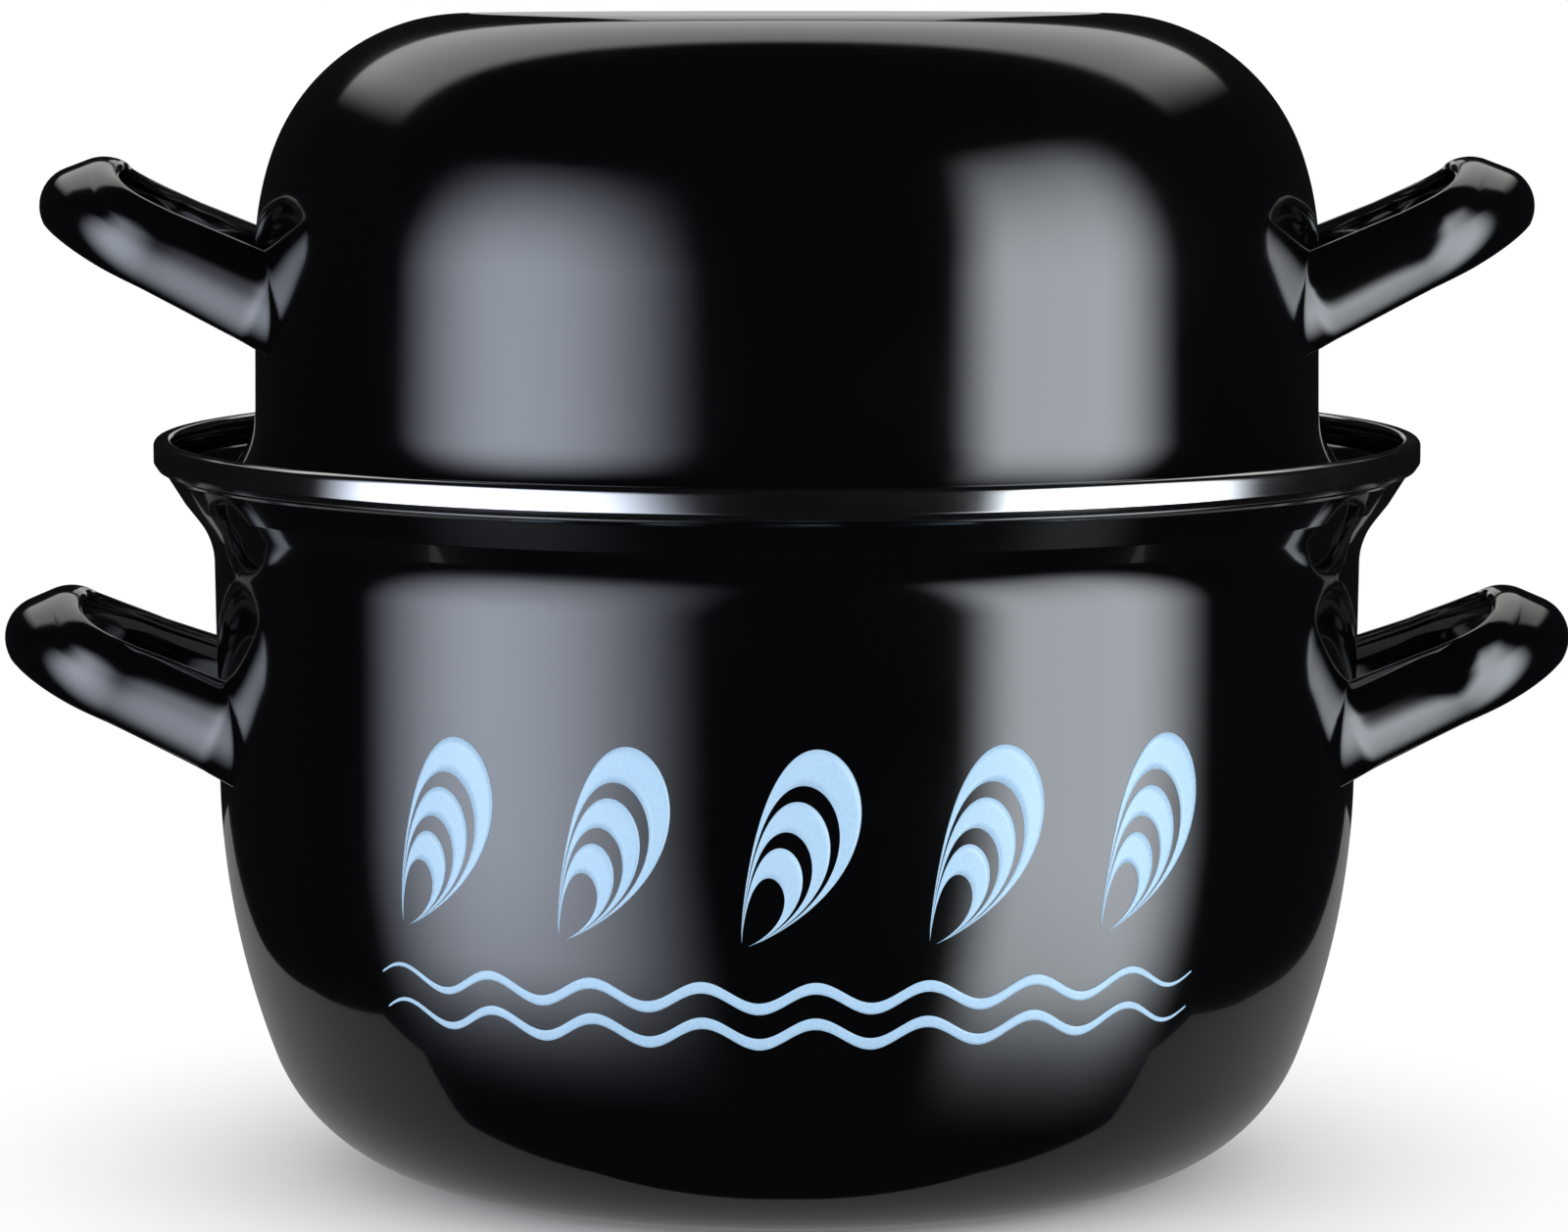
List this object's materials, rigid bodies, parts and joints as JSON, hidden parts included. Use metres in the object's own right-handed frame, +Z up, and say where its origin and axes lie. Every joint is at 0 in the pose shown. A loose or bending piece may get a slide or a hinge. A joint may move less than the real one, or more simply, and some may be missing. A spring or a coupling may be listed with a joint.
{
  "type": "mussel pot",
  "caption": "Round-bottomed enamelled pot with a steel rim band and loop handles, under a deep domed lid with handles of its own that lifts off and turns over as a bowl for shells.",
  "frame": {"origin": "middle of the pot's flat base, on the surface it stands on", "axes": "+X towards the right-hand handles, +Y away from the camera of the picture, +Z up along the pot's axis"},
  "size_m": [0.3, 0.24, 0.219],
  "materials": {
    "enamel": "glossy black vitreous enamel on sheet steel",
    "steel": "polished stainless steel"
  },
  "bodies": {
    "pot": {"pot_shell": "enamel", "pot_rim_band": "steel", "pot_handle_left": "enamel", "pot_handle_right": "enamel"},
    "lid": {"lid_shell": "enamel", "lid_rim_bead": "steel", "lid_handle_left": "enamel", "lid_handle_right": "enamel"}
  },
  "joints": [
    {"name": "lid_lift", "type": "slide", "parent": "pot", "child": "lid", "axis": [0, 0, 1], "range_m": [0, 0.15]}
  ]
}
